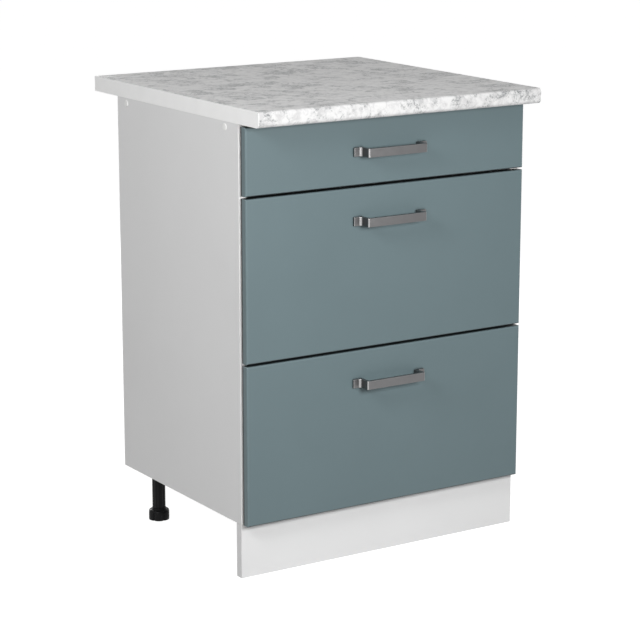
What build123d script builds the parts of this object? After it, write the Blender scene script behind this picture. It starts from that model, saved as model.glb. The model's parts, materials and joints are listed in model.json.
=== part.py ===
from build123d import *
from math import cos, radians, sin
import os

# Kitchen base cabinet with three drawers, in millimetres.
# X runs to the right, Y to the back and Z up. The origin lies on the floor, below the
# middle of the worktop, so the drawers open along -Y.

os.makedirs("parts", exist_ok=True)

# ---- carcass
width = 600
board = 16                      # melamine faced chipboard
carcass_depth = 440
carcass_bottom = 100            # height of the plinth and the legs
carcass_height = 716
rail_widths = {"front": 90, "rear": 70}
back_thickness = 3              # hardboard, nailed on
back_inset = 2                  # hardboard stays this far inside the carcass outline
plinth_gap = 0.5                # top of the plinth to the carcass

# ---- worktop
worktop_depth = 600
worktop_thickness = 28
front_overhang = 68             # worktop edge to the front of the carcass
worktop_top_radius = 6          # rolled front edge
worktop_lower_radius = 8
laminate = 0.8
laminate_return = 30            # laminate wrapped under the front edge
end_band = 0.8

# ---- drawer fronts
front_thickness = 16
front_reveal = 2                # each side, so that neighbouring cabinets clear
front_standoff = 4              # back of the front to the carcass
front_edge_radius = 3

# name: bottom of the front, its height, bottom edge of the box, height of the box
drawers = {
    "upper": (692, 120, 716, 78),
    "middle": (396, 292, 420, 180),
    "lower": (100, 292, 138, 180),
}
handle_drop = 60                # top edge of a front to the middle of its handle

# ---- drawer boxes and their roller runners
runner_length = 400
side_clearance = 12.5           # box side to cabinet side, room for one runner
steel = 1.2                     # thickness of the runner sheet
runner_screws_along = (50, 340)  # front end of a runner to its screws
roller_radius = 8.5
roller_width = 4.8
roller_bore = 2.22              # eight-sided, so its flats stand 0.1 mm off the axle
axle_radius = 1.95
axle_end = 0.8                  # an axle stands this far out of its roller
roller_gap = 0.3                # roller to the track it rolls on
runner_travel = 300
hardboard = 3                   # bottom of a drawer box
groove_clearance = 0.1
groove_depth = 7
groove_height = 10              # bottom edge of the box to its groove

# ---- handles
handle_spacing = 128            # between the two screws
handle_height = 16
handle_projection = 28
handle_bar = 6
handle_end = 63                 # middle of the handle to the end of its bar and its leg
handle_foot_end = 77.5          # middle of the handle to the tip of its foot
handle_foot = 4.5
handle_root_radius = 5          # between a leg and its foot

# ---- legs
leg_plate = 54
leg_screw_reach = 18            # centre of a leg to its screws, each way
leg_plate_thickness = 4
leg_hub_radius = 20
leg_hub_height = 14
leg_hub_taper = 27              # degrees
leg_tube_radius = 11.8
leg_rib_reach = 0.8             # the ribs stand this far out of the tube
leg_ribs = 8
leg_bore_radius = 9.9
stem_radius = 9.2
stem_length = 45
foot_radius = 20.5
foot_height = 20
foot_shoulder = 4               # height over which the hand wheel narrows
foot_taper = 38                 # degrees, on that shoulder
foot_lobes = 6
foot_collar = 23                # top of the collar that the tube rests on
foot_tread = 1.5                # height of the chamfer at the floor
leg_inset = 41                  # outer face of the carcass to the leg, sideways
front_leg_setback = 44          # front of the carcass to the front legs
rear_leg_setback = 59           # back of the carcass to the rear legs
clip_height = 14
clip_base = 50                  # floor to the underside of a plinth clip
clip_plate = 3
clip_screw_reach = 15

# ---- fasteners; heads are six-sided and hidden shanks and their holes square, for few facets
cap_radius = 6.5
cap_thickness = 1.5
socket_radius = 2.2
socket_depth = 3
confirmat = {"shank": 3.3, "head": 5, "head_height": 4.5, "length": 50}
small_screw = {"shank": 1.75, "head": 3.5, "head_height": 1.6, "length": 15}
front_screw = {"shank": 1.9, "head": 4, "head_height": 2, "length": 28}
worktop_screw = {"shank": 1.9, "head": 4, "head_height": 2.2, "length": 30}
handle_screw = {"shank": 1.95, "head": 4, "head_height": 2.4, "length": 3.8}
nail = {"shank": 0.7, "head": 1.8, "head_height": 0.5, "length": 18}
clearance = 0.4                 # screw to the wall of a plain hole
cam_radius = 7.4
cam_seat_radius = 7.6
cam_height = 12
cam_setback = 34                # middle of a cam to the end of its board
cam_bolt_radius = 3
cam_bolt_grip = 11              # depth of the bolt in the side panel

# ---- worked out from the above
half = width / 2
inner = half - board
carcass_top = carcass_bottom + carcass_height
carcass_front = front_overhang - worktop_depth / 2
carcass_back = carcass_front + carcass_depth
worktop_top = carcass_top + worktop_thickness
front_back_face = carcass_front - front_standoff
front_face = front_back_face - front_thickness
box_half = inner - side_clearance
box_inner = box_half - board
box_end = front_back_face + runner_length
runner_front = carcass_front + 3
rail_screw_height = carcass_top - 10
rail_screws_y = {
    "front": carcass_front + rail_widths["front"] / 2,
    "rear": carcass_back - rail_widths["rear"] / 2,
}
leg_places = {
    "front_left": (leg_inset - half, carcass_front + front_leg_setback),
    "front_right": (half - leg_inset, carcass_front + front_leg_setback),
    "rear_left": (leg_inset - half, carcass_back - rear_leg_setback),
    "rear_right": (half - leg_inset, carcass_back - rear_leg_setback),
}
hands = {"left": -1, "right": 1}


# ---- helpers
def keep(piece, node):
    """Names a finished piece and writes it out."""
    piece.part.label = node
    export_step(piece.part, f"parts/{node}.step")


def slab(x, y, z):
    """A flat board between two limits along each axis, added to the piece being made."""
    with BuildSketch(Plane.XY.offset(z[0])) as outline:
        with Locations(((x[0] + x[1]) / 2, (y[0] + y[1]) / 2)):
            Rectangle(x[1] - x[0], y[1] - y[0])
    extrude(outline.sketch, amount=z[1] - z[0])


def driven(points, direction):
    """Planes where fasteners enter: each looks back along the way that its fastener goes in."""
    return [Plane(origin=point, z_dir=-Vector(*direction)) for point in points]


def screw(size, flush=False):
    """A headed screw or nail that points down from the surface it enters."""
    top = 0 if flush else size["head_height"]
    with BuildPart() as piece:
        with BuildSketch(Plane.XY.offset(top)):
            RegularPolygon(size["head"], 6)
        extrude(amount=-size["head_height"])
        with BuildSketch(Plane.XY.offset(top - size["head_height"])):
            RegularPolygon(size["shank"], 4)
        extrude(amount=-(size["length"] + top - size["head_height"]))
    return piece.part


def plain_holes(planes, radius, depth, sides=4):
    """Clearance holes that start at the planes."""
    for plane in planes:
        with BuildSketch(plane) as opening:
            RegularPolygon(radius + clearance, sides)
        extrude(opening.sketch, amount=-depth, mode=Mode.SUBTRACT)


def group(node, *sets):
    """One node of separate solids: each set is a solid and the planes where it stands."""
    with BuildPart() as pieces:
        for solid, planes in sets:
            with Locations(planes):
                add(solid)
    keep(pieces, node)


# ---- places of the fasteners
def rail_screw_planes(hand):
    points = [(hand * half, y, rail_screw_height) for y in rail_screws_y.values()]
    return driven(points, (-hand, 0, 0))


def runner_screw_planes(hand, box_bottom):
    """Through the web of a cabinet runner into the side panel."""
    points = [
        (hand * (inner - steel), runner_front + along, box_bottom + rear_roller_z)
        for along in runner_screws_along
    ]
    return driven(points, (hand, 0, 0))


def drawer_rail_screw_planes(hand, box_bottom):
    """Up through the foot of a drawer rail into the edge of the box side."""
    points = [
        (hand * (box_half - board / 2), runner_front + along, box_bottom - steel)
        for along in runner_screws_along
    ]
    return driven(points, (0, 0, 1))


def worktop_screw_planes():
    points = [
        (x, y, carcass_top - board) for x in (-220, 220) for y in rail_screws_y.values()
    ]
    return driven(points, (0, 0, 1))


def leg_screw_planes():
    reach = leg_screw_reach
    points = [
        (x + across * reach, y + along * reach, carcass_bottom - leg_plate_thickness)
        for x, y in leg_places.values()
        for across in (-1, 1)
        for along in (-1, 1)
    ]
    return driven(points, (0, 0, 1))


def clip_screw_planes():
    points = [
        (x + reach, carcass_front + board + clip_plate, clip_base + clip_height / 2)
        for x in (leg_inset - half, half - leg_inset)
        for reach in (-clip_screw_reach, clip_screw_reach)
    ]
    return driven(points, (0, -1, 0))


def cam_places():
    """Side and depth of the cams under the bottom panel, two at each end."""
    return [
        (hand, y)
        for hand in hands.values()
        for y in (carcass_front + 100, carcass_back - 100)
    ]


def cam_bolt_planes():
    """Each bolt starts inside the side panel and ends at its cam."""
    height = carcass_bottom + board / 2
    return [
        Plane(origin=(hand * (inner + cam_bolt_grip), y, height), z_dir=(hand, 0, 0))
        for hand, y in cam_places()
    ]


def back_nail_planes():
    """Round the edge of the back, into the sides, the bottom and the rear rail."""
    beside = half - board / 2
    points = [
        (x, carcass_bottom + 88 + step * 180) for x in (-beside, beside) for step in range(4)
    ]
    points += [
        (x, z)
        for x in (-140, 140)
        for z in (carcass_bottom + board / 2, carcass_top - board / 2)
    ]
    return driven([(x, carcass_back + back_thickness, z) for x, z in points], (0, -1, 0))


# ---- carcass
def side_panel(hand):
    with BuildPart() as piece:
        slab(
            sorted((hand * inner, hand * half)),
            (carcass_front, carcass_back),
            (carcass_bottom, carcass_top),
        )
        with Locations(rail_screw_planes(hand)):
            add(screw(confirmat, flush=True), mode=Mode.SUBTRACT)
    return piece


def bottom_panel():
    """Between the sides, with seats for the cams and ways in for their bolts."""
    with BuildPart() as piece:
        slab(
            (-inner, inner), (carcass_front, carcass_back),
            (carcass_bottom, carcass_bottom + board),
        )
        plain_holes(cam_bolt_planes(), cam_bolt_radius, cam_bolt_grip + cam_setback, 6)
        with BuildSketch(Plane.XY.offset(carcass_bottom)):
            with Locations([(hand * (inner - cam_setback), y) for hand, y in cam_places()]):
                RegularPolygon(cam_seat_radius, 12)
        extrude(amount=cam_height + clearance, mode=Mode.SUBTRACT)
    return piece


def cam():
    """The cam that draws a bolt in, with the slot for the driver, standing on the origin."""
    with BuildPart() as piece:
        with BuildSketch():
            RegularPolygon(cam_radius, 12)
            Rectangle(9, 1.4, mode=Mode.SUBTRACT)
        extrude(amount=1.5)
        with BuildSketch(Plane.XY.offset(1.5)):
            RegularPolygon(cam_radius, 12)
        extrude(amount=cam_height - 1.5)
    return piece.part


def cam_bolt():
    """Points down from the origin and stops at the wall of the cam."""
    with BuildPart() as piece:
        with BuildSketch():
            RegularPolygon(cam_bolt_radius, 6)
        extrude(amount=-(cam_bolt_grip + cam_setback - cam_radius - clearance))
    return piece.part


def top_rail(place):
    """A board laid flat across the top of the carcass."""
    deep = rail_widths[place]
    start = carcass_front if place == "front" else carcass_back - deep
    with BuildPart() as piece:
        slab((-inner, inner), (start, start + deep), (carcass_top - board, carcass_top))
        within = [p for p in worktop_screw_planes() if start < p.origin.Y < start + deep]
        plain_holes(within, worktop_screw["shank"], board)
        ends = rail_screw_planes(-1) + rail_screw_planes(1)
        with Locations([p for p in ends if start < p.origin.Y < start + deep]):
            add(screw(confirmat, flush=True), mode=Mode.SUBTRACT)
    return piece


def back_panel():
    reach = half - back_inset
    with BuildPart() as piece:
        slab(
            (-reach, reach), (carcass_back, carcass_back + back_thickness),
            (carcass_bottom + back_inset, carcass_top - back_inset),
        )
    return piece


def plinth_board():
    with BuildPart() as piece:
        slab(
            (-half, half), (carcass_front, carcass_front + board),
            (0, carcass_bottom - plinth_gap),
        )
    return piece


def screw_cap():
    """A round cover with a stub that plugs into the socket of the screw below it."""
    with BuildPart() as piece:
        with BuildSketch():
            RegularPolygon(cap_radius, 12)
        extrude(amount=cap_thickness)
        with BuildSketch():
            RegularPolygon(socket_radius - 0.4, 6)
        extrude(amount=0.6 - socket_depth)
    return piece.part


def connecting_screw():
    """The thick chipboard screw, with a hexagon socket in its flush head."""
    with BuildPart() as piece:
        add(screw(confirmat, flush=True))
        with BuildSketch():
            RegularPolygon(socket_radius, 6)
        extrude(amount=-socket_depth, mode=Mode.SUBTRACT)
    return piece.part


# ---- worktop
def worktop_section(inset):
    """End view of the worktop, drawn this far inside its laminated faces."""
    front, rear = inset - worktop_depth / 2, worktop_depth / 2
    top, under = worktop_top - inset, carcass_top + inset
    with BuildSketch() as section:
        with BuildLine():
            Polyline((rear, under), (rear, top), (front, top), (front, under), close=True)
        make_face()
        edge = section.vertices().group_by(Axis.X)[0]
        fillet(edge.sort_by(Axis.Y)[-1], worktop_top_radius - inset)
        edge = section.vertices().group_by(Axis.Y)[0]
        fillet(edge.sort_by(Axis.X)[0], worktop_lower_radius - inset)
    return section.sketch_local


def bare_underside():
    """Strip below the worktop that the wrapped laminate leaves bare, in its end view."""
    start, end = laminate_return - worktop_depth / 2, worktop_depth / 2
    with BuildSketch() as strip:
        with Locations(((start + end) / 2, carcass_top + laminate / 2)):
            Rectangle(end - start, laminate)
    return strip.sketch_local


def worktop_core():
    reach = half - end_band
    with BuildPart() as core:
        with BuildSketch(Plane.YZ.offset(-reach)):
            add(worktop_section(laminate))
            add(bare_underside())
        extrude(amount=2 * reach)
    return core


def worktop_laminate():
    """One sheet over the top, rolled round the front edge and turned in below."""
    reach = half - end_band
    with BuildPart() as skin:
        with BuildSketch(Plane.YZ.offset(-reach)):
            add(worktop_section(0))
            add(worktop_section(laminate), mode=Mode.SUBTRACT)
            add(bare_underside(), mode=Mode.SUBTRACT)
        extrude(amount=2 * reach)
    return skin


def worktop_end_bands():
    with BuildPart() as bands:
        for start in (-half, half - end_band):
            with BuildSketch(Plane.YZ.offset(start)):
                add(worktop_section(0))
            extrude(amount=end_band)
    return bands


# ---- legs, feet and plinth clips
def turned_outline(spots):
    """Closed outline through points that are given by their radius and angle."""
    with BuildSketch() as outline:
        with BuildLine():
            Polyline(*[(r * cos(radians(a)), r * sin(radians(a))) for r, a in spots], close=True)
        make_face()
    return outline.sketch_local


def leg_housing():
    """Screw-on plate with a coned hub and a ribbed tube, round its own centre line."""
    plate_under = carcass_bottom - leg_plate_thickness
    half_turn = 180 / leg_ribs
    ribbed = [
        (leg_tube_radius + reach, step * half_turn)
        for step, reach in enumerate((leg_rib_reach, 0) * leg_ribs)
    ]
    with BuildPart() as leg:
        with BuildSketch(Plane.XY.offset(plate_under)) as plate:
            Rectangle(leg_plate, leg_plate)
            chamfer(plate.vertices(), 6)
            with GridLocations(2 * leg_screw_reach, 2 * leg_screw_reach, 2, 2):
                RegularPolygon(small_screw["shank"] + clearance, 4, mode=Mode.SUBTRACT)
        extrude(amount=leg_plate_thickness)
        with BuildSketch(Plane.XY.offset(foot_collar)):
            add(turned_outline(ribbed))
        extrude(amount=plate_under - leg_hub_height - foot_collar)
        with BuildSketch(Plane.XY.offset(plate_under)):
            RegularPolygon(leg_hub_radius, leg_ribs)
        extrude(amount=-leg_hub_height, taper=leg_hub_taper)
        with BuildSketch(Plane.XY.offset(foot_collar)):
            RegularPolygon(leg_bore_radius, leg_ribs)
        extrude(amount=stem_length + 5, mode=Mode.SUBTRACT)
    return leg.part


def hand_wheel():
    """Outline of the foot: lobes for the fingers with notches between them."""
    turn = 360 / foot_lobes
    corners = ((0.84, -turn / 2), (1, -turn / 5), (1, turn / 5))
    return turned_outline(
        [
            (reach * foot_radius, lobe * turn + angle)
            for lobe in range(foot_lobes)
            for reach, angle in corners
        ]
    )


def adjusting_foot():
    """Hand wheel on the floor, with its stem up inside the tube."""
    with BuildPart() as foot:
        with BuildSketch():
            add(hand_wheel())
        extrude(amount=foot_height - foot_shoulder)
        chamfer(foot.faces().sort_by(Axis.Z)[0].edges(), foot_tread)
        with BuildSketch(Plane.XY.offset(foot_height - foot_shoulder)):
            add(hand_wheel())
        extrude(amount=foot_shoulder, taper=foot_taper)
        with BuildSketch(Plane.XY.offset(foot_height)):
            RegularPolygon(leg_tube_radius + 2, leg_ribs)
        extrude(amount=foot_collar - foot_height)
        with BuildSketch(Plane.XY.offset(foot_collar)):
            RegularPolygon(stem_radius, leg_ribs)
        extrude(amount=stem_length)
    return foot.part


def plinth_clip():
    """Open ring that snaps round a leg, on an arm from a plate behind the plinth."""
    ring_inner = leg_tube_radius + leg_rib_reach + 1
    ring_outer = ring_inner + 2.6
    plinth_distance = front_leg_setback - board
    with BuildPart() as clip:
        with BuildSketch(Plane.XY.offset(clip_base)):
            RegularPolygon(ring_outer, leg_ribs)
            with Locations((0, -plinth_distance / 2)):
                Rectangle(8, plinth_distance)
            RegularPolygon(ring_inner, leg_ribs, mode=Mode.SUBTRACT)
            with Locations((0, ring_outer)):
                Rectangle(1.5 * ring_inner, ring_outer, mode=Mode.SUBTRACT)
        extrude(amount=clip_height)
        with BuildSketch(Plane.XZ.offset(plinth_distance)) as plate:
            with Locations((0, clip_base + clip_height / 2)):
                Rectangle(44, 22)
            chamfer(plate.vertices(), 4)
            with Locations(
                (-clip_screw_reach, clip_base + clip_height / 2),
                (clip_screw_reach, clip_base + clip_height / 2),
            ):
                RegularPolygon(small_screw["shank"] + clearance, 4, mode=Mode.SUBTRACT)
        extrude(amount=-clip_plate)
    return clip.part


# ---- drawers
def fixing_heights(box_bottom, box_height):
    return (box_bottom + 30, box_bottom + box_height - 20)


def handle_level(front_bottom, front_height):
    return front_bottom + front_height - handle_drop


def groove_levels(box_bottom):
    low = box_bottom + groove_height
    return (low, low + hardboard + 2 * groove_clearance)


def box_corner_screw_planes(box_bottom, box_height):
    """Through the box sides into the ends of the inner front and the back."""
    return [
        plane
        for hand in hands.values()
        for plane in driven(
            [
                (hand * box_half, y, z)
                for y in (front_back_face + board / 2, box_end - board / 2)
                for z in fixing_heights(box_bottom, box_height)
            ],
            (-hand, 0, 0),
        )
    ]


def front_screw_planes(box_bottom, box_height):
    """From inside the box, through its inner front into the drawer front."""
    points = [
        (x, front_back_face + board, z)
        for x in (-190, 190)
        for z in fixing_heights(box_bottom, box_height)
    ]
    return driven(points, (0, -1, 0))


def box_base_screw_planes(box_bottom):
    """Up through the bottom of the box into the lower edge of its back."""
    low = groove_levels(box_bottom)[0] + groove_clearance
    return driven([(x, box_end - board / 2, low) for x in (-170, 170)], (0, 0, 1))


def handle_screw_reach(level, box_bottom, box_height):
    """Thickness that the handle screws cross: both boards, or only the drawer front."""
    behind = box_bottom < level < box_bottom + box_height
    return front_thickness + (board if behind else 0)


def handle_screw_planes(level, reach):
    points = [(x, front_face + reach, level) for x in (-handle_spacing / 2, handle_spacing / 2)]
    return driven(points, (0, -1, 0))


def drawer_front(front_bottom, front_height):
    reach = half - front_reveal
    level = handle_level(front_bottom, front_height)
    with BuildPart() as piece:
        slab(
            (-reach, reach), (front_face, front_back_face),
            (front_bottom, front_bottom + front_height),
        )
        fillet(piece.faces().sort_by(Axis.Y)[0].edges(), front_edge_radius)
        plain_holes(
            handle_screw_planes(level, front_thickness), handle_screw["shank"], front_thickness
        )
    return piece


def box_side(hand, box_bottom, box_height):
    """Side of a box, with the groove for its bottom."""
    low, high = groove_levels(box_bottom)
    with BuildPart() as piece:
        slab(
            sorted((hand * box_inner, hand * box_half)), (front_back_face, box_end),
            (box_bottom, box_bottom + box_height),
        )
        with BuildSketch(Plane.YZ.offset(hand * box_inner)):
            start = front_back_face + board - groove_depth
            with Locations(((start + box_end) / 2, (low + high) / 2)):
                Rectangle(box_end - start, high - low)
        extrude(amount=hand * groove_depth, mode=Mode.SUBTRACT)
    return piece


def box_front(level, box_bottom, box_height):
    """Inner front of a box, grooved for its bottom, behind the drawer front."""
    low, high = groove_levels(box_bottom)
    reach = handle_screw_reach(level, box_bottom, box_height)
    with BuildPart() as piece:
        slab(
            (-box_inner, box_inner), (front_back_face, front_back_face + board),
            (box_bottom, box_bottom + box_height),
        )
        with BuildSketch(Plane.XZ.offset(-front_back_face - board)):
            with Locations((0, (low + high) / 2)):
                Rectangle(2 * box_inner, high - low)
        extrude(amount=groove_depth, mode=Mode.SUBTRACT)
        if reach > front_thickness:
            plain_holes(handle_screw_planes(level, reach), handle_screw["shank"], board)
    return piece


def box_back(box_bottom, box_height):
    """Back of a box; it stands on the bottom, which runs out below it."""
    with BuildPart() as piece:
        slab(
            (-box_inner, box_inner), (box_end - board, box_end),
            (groove_levels(box_bottom)[1], box_bottom + box_height),
        )
    return piece


def box_base(box_bottom):
    low, high = groove_levels(box_bottom)
    reach = box_inner + groove_depth - 0.5
    with BuildPart() as piece:
        slab(
            (-reach, reach), (front_back_face + board - groove_depth + 0.5, box_end),
            (low + groove_clearance, high - groove_clearance),
        )
    return piece


def handle(level):
    """A flat bar on two legs that end in feet, turned outward on the drawer front."""
    leg_inner = handle_end - handle_bar
    behind_bar = handle_projection - handle_bar
    half_outline = [
        (0, handle_projection), (handle_end, handle_projection), (handle_end, handle_foot),
        (handle_foot_end, handle_foot), (handle_foot_end, 0),
        (leg_inner, 0), (leg_inner, behind_bar), (0, behind_bar),
    ]
    rounded = (
        (handle_end, handle_projection, 3),
        (handle_end, handle_foot, handle_root_radius),
        (leg_inner, behind_bar, 4),
    )
    with BuildPart() as piece:
        with BuildSketch(Plane.XY.offset(level - handle_height / 2)) as plan:
            with BuildLine():
                Polyline(*[(x, front_face - out) for x, out in half_outline], close=True)
            make_face()
            mirror(about=Plane.YZ)
            for x, out, radius in rounded:
                spots = [Vector(hand * x, front_face - out, 0) for hand in hands.values()]
                near = plan.vertices().filter_by(
                    lambda v: min((Vector(v.X, v.Y, 0) - spot).length for spot in spots) < 0.01
                )
                fillet(near, radius)
        extrude(amount=handle_height)
        plain_holes(handle_screw_planes(level, 0), handle_screw["shank"], handle_foot - 0.5)
    return piece


# ---- roller runners; a section counts inward from the cabinet side, and up from the box
track_under = -16
track_floor = track_under + steel       # the rear roller runs above this
flange_top = 18
flange_under = flange_top - steel       # the front roller runs below this
track_lip = 1.6                         # upturned edge of the track
front_roller_z = flange_under - roller_gap - roller_radius
rear_roller_z = track_floor + roller_gap + roller_radius
track_roof = rear_roller_z + roller_radius + 0.7
front_roller_y = runner_front + 13
rear_roller_y = box_end - 11
front_roller_inward = (4.4, 4.4 + roller_width)
rear_roller_inward = (3.2, 3.2 + roller_width)


def runner_section(points, hand, box_bottom):
    return [(hand * (inner - inward), box_bottom + up) for inward, up in points]


def axle(hand, inward, y, z):
    """A pin across the runner gap, between two distances from the cabinet side."""
    start, end = (hand * (inner - d) for d in inward)
    with BuildSketch(Plane.YZ.offset(min(start, end))) as disc:
        with Locations((y, z)):
            RegularPolygon(axle_radius, 8)
    extrude(disc.sketch, amount=abs(end - start))


def cabinet_runners(box_bottom):
    """C-shaped tracks on the cabinet sides, each with the axle of its front roller."""
    lip, reach = 8.4, 9.6
    section = [
        (0, track_under), (reach, track_under), (reach, track_floor + track_lip),
        (lip, track_floor + track_lip), (lip, track_floor), (steel, track_floor),
        (steel, track_roof), (reach - 0.8, track_roof),
        (reach - 0.8, track_roof + steel), (0, track_roof + steel),
    ]
    stop_y = rear_roller_y - runner_travel - roller_radius - 1.5
    with BuildPart() as pair:
        for hand in hands.values():
            with BuildSketch(Plane.XZ.offset(-runner_front)):
                with BuildLine():
                    Polyline(*runner_section(section, hand, box_bottom), close=True)
                make_face()
            extrude(amount=-runner_length)
            # the upper flange stops behind the front roller
            with BuildSketch(Plane.XY.offset(box_bottom + track_roof)):
                with Locations((hand * (inner - steel - 5), runner_front + 13)):
                    Rectangle(10, 26)
            extrude(amount=steel, mode=Mode.SUBTRACT)
            # ear that carries the front roller
            with BuildSketch(Plane.YZ.offset(hand * (inner - steel))) as ear:
                with Locations((front_roller_y, box_bottom + 7)):
                    Rectangle(26, 16)
                chamfer(ear.vertices().group_by(Axis.Y)[-1], 5)
            extrude(amount=hand * steel)
            # bent tab that stops the rear roller when the drawer is out
            with BuildSketch(Plane.XZ.offset(-stop_y + steel)):
                with Locations((hand * (inner - 5), box_bottom + track_roof - 3)):
                    Rectangle(6, 6.5)
            extrude(amount=steel)
            axle(
                hand, (steel, front_roller_inward[1] + axle_end),
                front_roller_y, box_bottom + front_roller_z,
            )
            plain_holes(runner_screw_planes(hand, box_bottom), small_screw["shank"], steel)
    return pair


def drawer_rails(box_bottom):
    """Rails under the box sides, each with a flange that runs on the front roller."""
    outer, web, foot = 2.4, side_clearance - steel, side_clearance + 15
    section = [
        (outer, 14.5), (outer + steel, 14.5), (outer + steel, flange_under),
        (web, flange_under), (web, -steel), (foot, -steel),
        (foot, 0), (side_clearance, 0), (side_clearance, flange_top), (outer, flange_top),
    ]
    with BuildPart() as pair:
        for hand in hands.values():
            with BuildSketch(Plane.XZ.offset(-carcass_front)):
                with BuildLine():
                    Polyline(*runner_section(section, hand, box_bottom), close=True)
                make_face()
            extrude(amount=carcass_front - box_end)
            # ear that carries the rear roller
            with BuildSketch(Plane.YZ.offset(hand * (inner - side_clearance))) as ear:
                with Locations((rear_roller_y, box_bottom - 3)):
                    Rectangle(22, 16)
                chamfer(ear.vertices().group_by(Axis.Y)[0], 5)
            extrude(amount=hand * steel)
            axle(
                hand, (web, rear_roller_inward[0] - axle_end),
                rear_roller_y, box_bottom + rear_roller_z,
            )
            plain_holes(
                drawer_rail_screw_planes(hand, box_bottom), small_screw["shank"], steel
            )
    return pair


def roller_pair(inward, y, z):
    with BuildPart() as pair:
        for hand in hands.values():
            start, end = (hand * (inner - d) for d in inward)
            with BuildSketch(Plane.YZ.offset(min(start, end))):
                with Locations((y, z)):
                    Circle(roller_radius)
                    RegularPolygon(roller_bore, 8, mode=Mode.SUBTRACT)
            extrude(amount=roller_width)
    return pair


# ---- the pieces of the cabinet
for name, hand in hands.items():
    keep(side_panel(hand), f"side_panel_{name}")
keep(bottom_panel(), "bottom_panel")
keep(top_rail("front"), "front_rail")
keep(top_rail("rear"), "rear_rail")
keep(back_panel(), "back_panel")
keep(plinth_board(), "plinth_board")
keep(worktop_core(), "worktop_core")
keep(worktop_laminate(), "worktop_laminate")
keep(worktop_end_bands(), "worktop_end_bands")

leg_planes = {place: Plane(origin=(x, y, 0)) for place, (x, y) in leg_places.items()}
group("leg_housings", (leg_housing(), list(leg_planes.values())))
group("plinth_clips", (plinth_clip(), [leg_planes["front_left"], leg_planes["front_right"]]))
for place, plane in leg_planes.items():
    group(f"foot_{place}", (adjusting_foot(), [plane]))

rail_planes = rail_screw_planes(-1) + rail_screw_planes(1)
group("carcass_screws", (connecting_screw(), rail_planes))
group("screw_caps", (screw_cap(), rail_planes))
cam_planes = [
    Plane(origin=(hand * (inner - cam_setback), y, carcass_bottom)) for hand, y in cam_places()
]
group("carcass_cams", (cam(), cam_planes), (cam_bolt(), cam_bolt_planes()))
group("back_nails", (screw(nail), back_nail_planes()))
side_runner_screws = [
    plane
    for hand in hands.values()
    for _, _, box_bottom, _ in drawers.values()
    for plane in runner_screw_planes(hand, box_bottom)
]
group(
    "chipboard_screws",
    (screw(small_screw), leg_screw_planes() + clip_screw_planes() + side_runner_screws),
    (screw(worktop_screw), worktop_screw_planes()),
)

# ---- the pieces of each drawer
for name, (front_bottom, front_height, box_bottom, box_height) in drawers.items():
    level = handle_level(front_bottom, front_height)
    reach = handle_screw_reach(level, box_bottom, box_height)
    long_screw = handle_screw | {"length": handle_screw["length"] + reach}
    keep(drawer_front(front_bottom, front_height), f"{name}_front")
    keep(handle(level), f"{name}_handle")
    group(f"{name}_handle_screws", (screw(long_screw), handle_screw_planes(level, reach)))
    for side, hand in hands.items():
        keep(box_side(hand, box_bottom, box_height), f"{name}_box_{side}")
    keep(box_front(level, box_bottom, box_height), f"{name}_box_front")
    keep(box_back(box_bottom, box_height), f"{name}_box_back")
    keep(box_base(box_bottom), f"{name}_box_base")
    rail_screws = [
        plane for hand in hands.values() for plane in drawer_rail_screw_planes(hand, box_bottom)
    ]
    group(
        f"{name}_box_screws",
        (screw(confirmat, flush=True), box_corner_screw_planes(box_bottom, box_height)),
        (screw(front_screw), front_screw_planes(box_bottom, box_height)),
        (screw(small_screw), rail_screws + box_base_screw_planes(box_bottom)),
    )
    keep(cabinet_runners(box_bottom), f"{name}_cabinet_runners")
    keep(drawer_rails(box_bottom), f"{name}_drawer_rails")
    keep(
        roller_pair(front_roller_inward, front_roller_y, box_bottom + front_roller_z),
        f"{name}_cabinet_rollers",
    )
    keep(
        roller_pair(rear_roller_inward, rear_roller_y, box_bottom + rear_roller_z),
        f"{name}_drawer_rollers",
    )
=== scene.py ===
import json
import math

import bmesh
import bpy
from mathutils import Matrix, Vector


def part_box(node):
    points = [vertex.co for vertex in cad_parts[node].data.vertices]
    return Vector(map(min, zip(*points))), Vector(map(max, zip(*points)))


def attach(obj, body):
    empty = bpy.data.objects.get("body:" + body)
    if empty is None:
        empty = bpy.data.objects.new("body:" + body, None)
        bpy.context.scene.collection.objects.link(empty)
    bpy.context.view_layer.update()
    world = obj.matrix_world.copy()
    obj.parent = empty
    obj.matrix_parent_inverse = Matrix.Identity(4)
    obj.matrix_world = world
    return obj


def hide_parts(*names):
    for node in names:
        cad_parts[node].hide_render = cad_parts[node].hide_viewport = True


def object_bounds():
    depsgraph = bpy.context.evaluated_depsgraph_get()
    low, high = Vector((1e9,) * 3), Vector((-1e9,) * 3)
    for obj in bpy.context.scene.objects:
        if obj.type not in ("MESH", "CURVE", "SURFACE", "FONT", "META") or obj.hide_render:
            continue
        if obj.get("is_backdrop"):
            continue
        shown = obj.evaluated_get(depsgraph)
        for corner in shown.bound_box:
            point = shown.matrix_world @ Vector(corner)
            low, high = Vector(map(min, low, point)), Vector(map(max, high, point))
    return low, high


# metres: x to the right, y to the back, z up; the drawers open along -y

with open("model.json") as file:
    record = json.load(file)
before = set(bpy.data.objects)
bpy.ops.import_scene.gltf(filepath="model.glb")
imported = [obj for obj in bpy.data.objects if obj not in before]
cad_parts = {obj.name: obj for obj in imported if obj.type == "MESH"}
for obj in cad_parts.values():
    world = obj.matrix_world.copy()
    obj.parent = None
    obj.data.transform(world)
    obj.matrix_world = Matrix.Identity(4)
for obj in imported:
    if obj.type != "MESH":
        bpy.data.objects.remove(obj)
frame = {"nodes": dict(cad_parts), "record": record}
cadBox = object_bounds()
drawerNames = ("upper", "middle", "lower")
print("frame loaded")

# camera and light

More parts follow.
